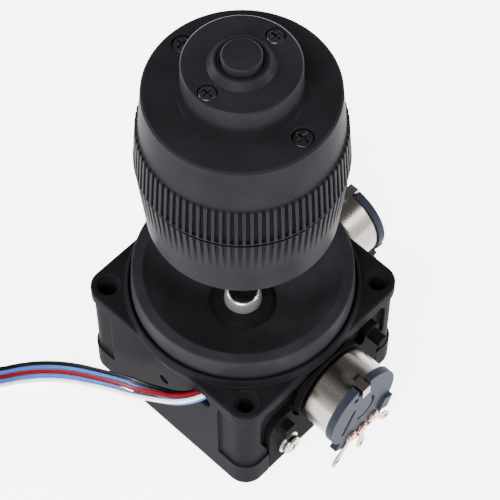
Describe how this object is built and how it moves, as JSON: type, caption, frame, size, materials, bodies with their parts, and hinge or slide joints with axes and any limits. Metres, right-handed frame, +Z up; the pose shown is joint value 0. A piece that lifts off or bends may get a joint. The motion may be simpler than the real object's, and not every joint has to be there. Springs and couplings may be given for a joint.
{
  "type": "industrial joystick",
  "caption": "Panel joystick: square base with round bowl, pivoting stick, fluted twist knob with top button, side potentiometers and loose leads.",
  "frame": {"origin": "on the stick's axis, in the plane of the base's bottom face", "axes": "+Z up the stick; +X and +Y towards the two potentiometers; the leads leave the -Y side"},
  "size_m": [0.1414, 0.1093, 0.1364],
  "materials": {
    "black_plastic": "fine satin moulding",
    "knob_plastic": "satin moulding with bright worn edges",
    "bowl_plastic": "semi-gloss moulding",
    "ball_plastic": "smooth black acetal",
    "polished_steel": "polished",
    "nickel": "bright nickel plate",
    "zinc_steel": "bright zinc plate",
    "black_steel": "black oxide",
    "spring_steel": "drawn wire",
    "wafer": "slate-blue laminate",
    "copper": "plain copper rivets",
    "tinned": "tinned",
    "grey_nylon": "natural nylon",
    "board": "solder-masked board",
    "lead_black": "soft insulation",
    "lead_blue": "soft insulation",
    "lead_red": "soft insulation",
    "lead_white": "soft insulation"
  },
  "bodies": {
    "base": {"base_housing": "black_plastic", "bottom_cover": "black_plastic", "bottom_screws": "zinc_steel", "bowl_cover": "bowl_plastic", "cover_screws": "zinc_steel", "ball_retainer": "black_plastic", "retainer_screws": "zinc_steel", "bracket_x": "black_plastic", "bracket_y": "black_plastic", "bracket_screws_x": "nickel", "bracket_screws_y": "nickel", "bracket_washers_x": "nickel", "bracket_washers_y": "nickel", "can_x": "nickel", "can_y": "nickel", "wafer_x": "wafer", "wafer_y": "wafer", "rivets_x": "copper", "rivets_y": "copper", "lugs_x": "tinned", "lugs_y": "tinned", "pot_nuts": "nickel", "centring_spring_x": "spring_steel", "centring_spring_y": "spring_steel", "lead_black": "lead_black", "lead_blue_a": "lead_blue", "lead_red": "lead_red", "lead_blue_b": "lead_blue", "lead_white": "lead_white", "lead_tips": "tinned"},
    "fork_x": {"bail_x": "grey_nylon", "pot_shaft_x": "polished_steel"},
    "fork_y": {"bail_y": "grey_nylon", "pot_shaft_y": "polished_steel"},
    "stick": {"stick_tube": "polished_steel", "stick_collar": "polished_steel", "pivot_ball": "ball_plastic", "stick_leads": "lead_white", "lower_knob": "knob_plastic", "stick_nut": "zinc_steel", "twist_plate": "black_plastic", "twist_plate_screws": "zinc_steel", "twist_pot": "black_plastic", "twist_nut": "nickel", "twist_spring": "spring_steel"},
    "top": {"upper_knob": "knob_plastic", "knob_screws": "black_steel", "cap_drum": "knob_plastic", "cap_screws": "black_steel", "switch_board": "board", "tact_switch": "black_plastic", "button_spring": "spring_steel", "twist_shaft": "polished_steel", "twist_rotor": "black_plastic"},
    "push": {"button": "knob_plastic"}
  },
  "joints": [
    {"name": "tilt_x", "type": "hinge", "parent": "base", "child": "fork_x", "pos_m": [0, 0, 0.024], "axis": [1, 0, 0], "range_deg": [-25, 25], "stiffness_Nm_per_rad": 0.5, "deforming": ["centring_spring_x"]},
    {"name": "tilt_y", "type": "hinge", "parent": "fork_x", "child": "stick", "pos_m": [0, 0, 0.024], "axis": [0, 1, 0], "range_deg": [-25, 25], "stiffness_Nm_per_rad": 0.5},
    {"name": "fork_y_turn", "type": "hinge", "parent": "base", "child": "fork_y", "pos_m": [0, 0, 0.024], "axis": [0, 1, 0], "range_deg": [-25, 25], "deforming": ["centring_spring_y"]},
    {"name": "twist", "type": "hinge", "parent": "stick", "child": "top", "pos_m": [0, 0, 0.0975], "axis": [0, 0, 1], "range_deg": [-30, 30], "stiffness_Nm_per_rad": 0.1, "deforming": ["twist_spring"]},
    {"name": "press", "type": "slide", "parent": "top", "child": "push", "axis": [0, 0, -1], "range_m": [0, 0.001], "stiffness_N_per_m": 800, "deforming": ["button_spring"]}
  ],
  "couplings": [
    {"joint": "fork_y_turn", "follows": "tilt_y", "ratio": 1}
  ]
}
